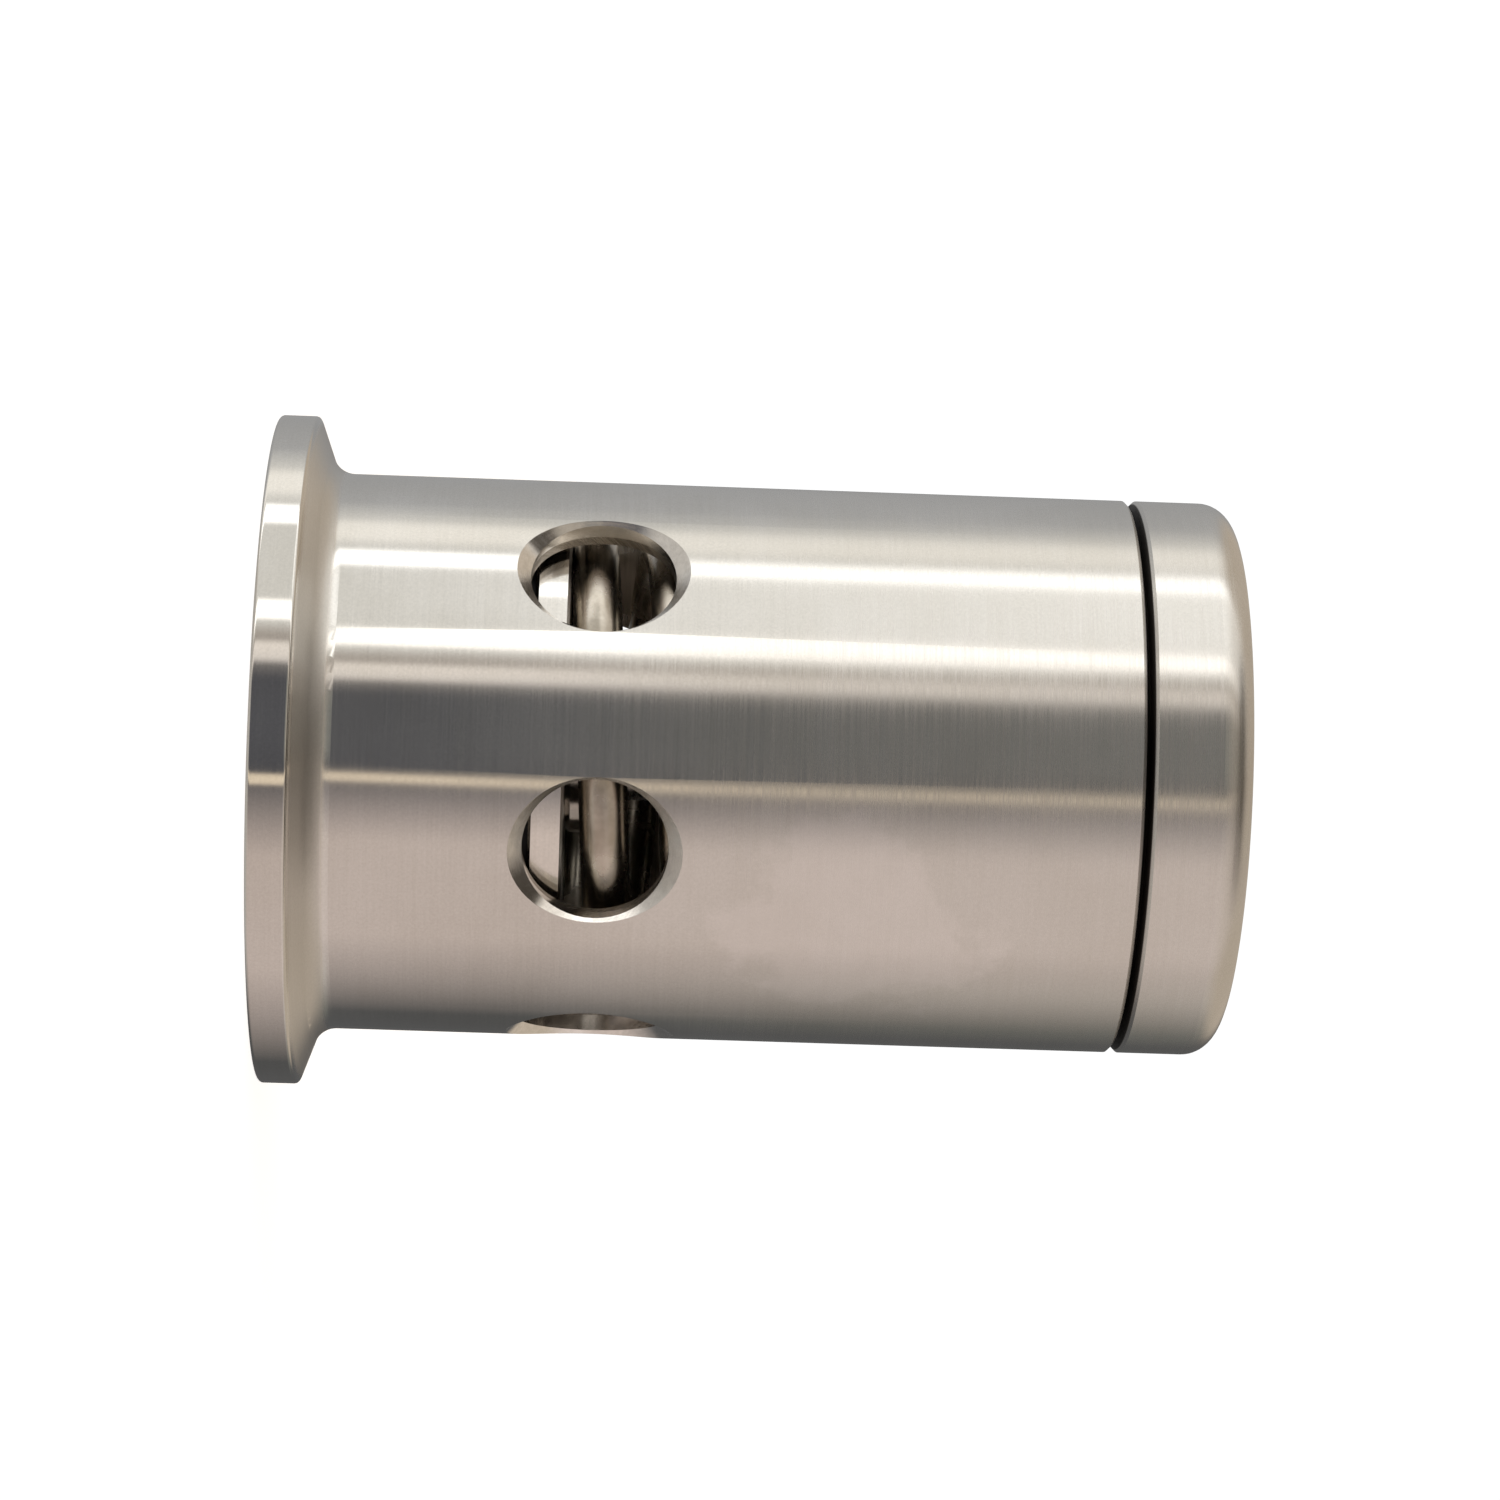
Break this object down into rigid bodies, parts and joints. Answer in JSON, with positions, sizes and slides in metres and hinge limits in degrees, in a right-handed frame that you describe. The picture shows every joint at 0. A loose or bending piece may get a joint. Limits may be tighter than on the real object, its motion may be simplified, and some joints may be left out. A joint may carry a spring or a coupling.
{
  "type": "pressure relief valve",
  "caption": "Round stainless pressure relief valve: clamp ferrule, side vents, spring-loaded disc and a screw cap that sets the spring.",
  "frame": {"origin": "centre of the ferrule's sealing face, at the base of the valve", "axes": "+Z along the valve's axis towards the cap, +X through the middle of one vent"},
  "size_m": [0.0506, 0.0504, 0.072],
  "materials": {
    "body_steel": "satin, turned",
    "cap_steel": "satin, turned",
    "plate_steel": "turned",
    "disc_steel": "bright, turned",
    "retainer_steel": "turned",
    "stem_steel": "turned",
    "spring_steel": "drawn wire, satin",
    "lock_washer_steel": "satin",
    "nut_steel": "satin",
    "ring_rubber": "matte",
    "seal_rubber": "matte",
    "washer_plastic": "matte, slippery",
    "bush_plastic": "matte, slippery"
  },
  "bodies": {
    "shell": {"valve_body": "body_steel", "main_spring": "spring_steel"},
    "poppet": {"valve_disc": "disc_steel", "disc_seal": "seal_rubber", "seal_retainer": "retainer_steel", "valve_stem": "stem_steel", "lock_washer": "lock_washer_steel", "stem_nut": "nut_steel"},
    "spring_seat": {"spring_plate": "plate_steel", "guide_bush": "bush_plastic", "thrust_washer": "washer_plastic"},
    "cap": {"top_cap": "cap_steel", "cap_o_ring": "ring_rubber"}
  },
  "joints": [
    {"name": "disc_lift", "type": "slide", "parent": "shell", "child": "poppet", "axis": [0, 0, 1], "range_m": [0, 0.005], "stiffness_N_per_m": 9400, "deforming": ["main_spring"]},
    {"name": "cap_turn", "type": "hinge", "parent": "spring_seat", "child": "cap", "pos_m": [0, 0, 0.068], "axis": [0, 0, 1], "range_deg": [0, 1085]},
    {"name": "seat_travel", "type": "slide", "parent": "shell", "child": "spring_seat", "axis": [0, 0, 1], "range_m": [0, 0.0045], "deforming": ["main_spring"]}
  ],
  "couplings": [
    {"joint": "cap_turn", "follows": "seat_travel", "rad_per_m": 4188.8}
  ]
}
